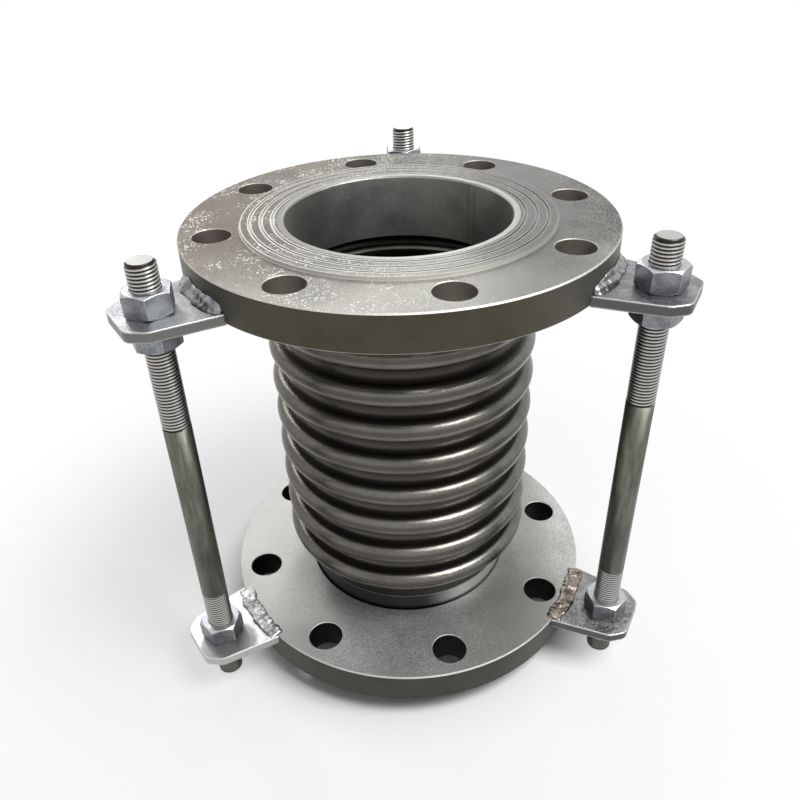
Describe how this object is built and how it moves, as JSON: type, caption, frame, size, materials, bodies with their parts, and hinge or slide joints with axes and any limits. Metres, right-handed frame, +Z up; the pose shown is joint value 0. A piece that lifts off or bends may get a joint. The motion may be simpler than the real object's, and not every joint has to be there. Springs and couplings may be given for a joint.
{
  "type": "flanged expansion joint",
  "caption": "Pipe expansion joint with a convoluted metal bellows between drilled flanges, held at length by tie rods through welded lugs.",
  "frame": {"origin": "centre of the lower flange's sealing face", "axes": "+Z up the pipe axis to the upper flange, +Y through the back tie rod"},
  "size_m": [0.3054, 0.2985, 0.305],
  "materials": {
    "flange_steel": "silver-grey finish over rolled steel plate, blotchy and slightly grainy",
    "pipe_steel": "satin rolled steel",
    "bellows_steel": "glossy formed stainless steel",
    "weld_metal": "lumpy bright weld metal",
    "lug_steel": "bright coated plate",
    "rod_steel": "satin steel bar with rolled threads",
    "nut_zinc": "bluish bright zinc plating"
  },
  "bodies": {
    "root": {"upper_flange": "flange_steel", "lower_flange": "flange_steel", "upper_pipe": "pipe_steel", "lower_pipe": "pipe_steel", "upper_face_weld": "weld_metal", "lower_face_weld": "weld_metal", "bellows": "bellows_steel", "upper_cuff_weld": "weld_metal", "lower_cuff_weld": "weld_metal", "upper_lug_back": "lug_steel", "upper_lug_left": "lug_steel", "upper_lug_right": "lug_steel", "lower_lug_back": "lug_steel", "lower_lug_left": "lug_steel", "lower_lug_right": "lug_steel", "upper_weld_back": "weld_metal", "upper_weld_left": "weld_metal", "upper_weld_right": "weld_metal", "lower_weld_back": "weld_metal", "lower_weld_left": "weld_metal", "lower_weld_right": "weld_metal", "rod_back": "rod_steel", "rod_left": "rod_steel", "rod_right": "rod_steel", "nut_top_back": "nut_zinc", "nut_top_left": "nut_zinc", "nut_top_right": "nut_zinc", "nut_under_upper_back": "nut_zinc", "nut_under_upper_left": "nut_zinc", "nut_under_upper_right": "nut_zinc", "nut_over_lower_back": "nut_zinc", "nut_over_lower_left": "nut_zinc", "nut_over_lower_right": "nut_zinc", "nut_bottom_back": "nut_zinc", "nut_bottom_left": "nut_zinc", "nut_bottom_right": "nut_zinc"}
  },
  "joints": []
}
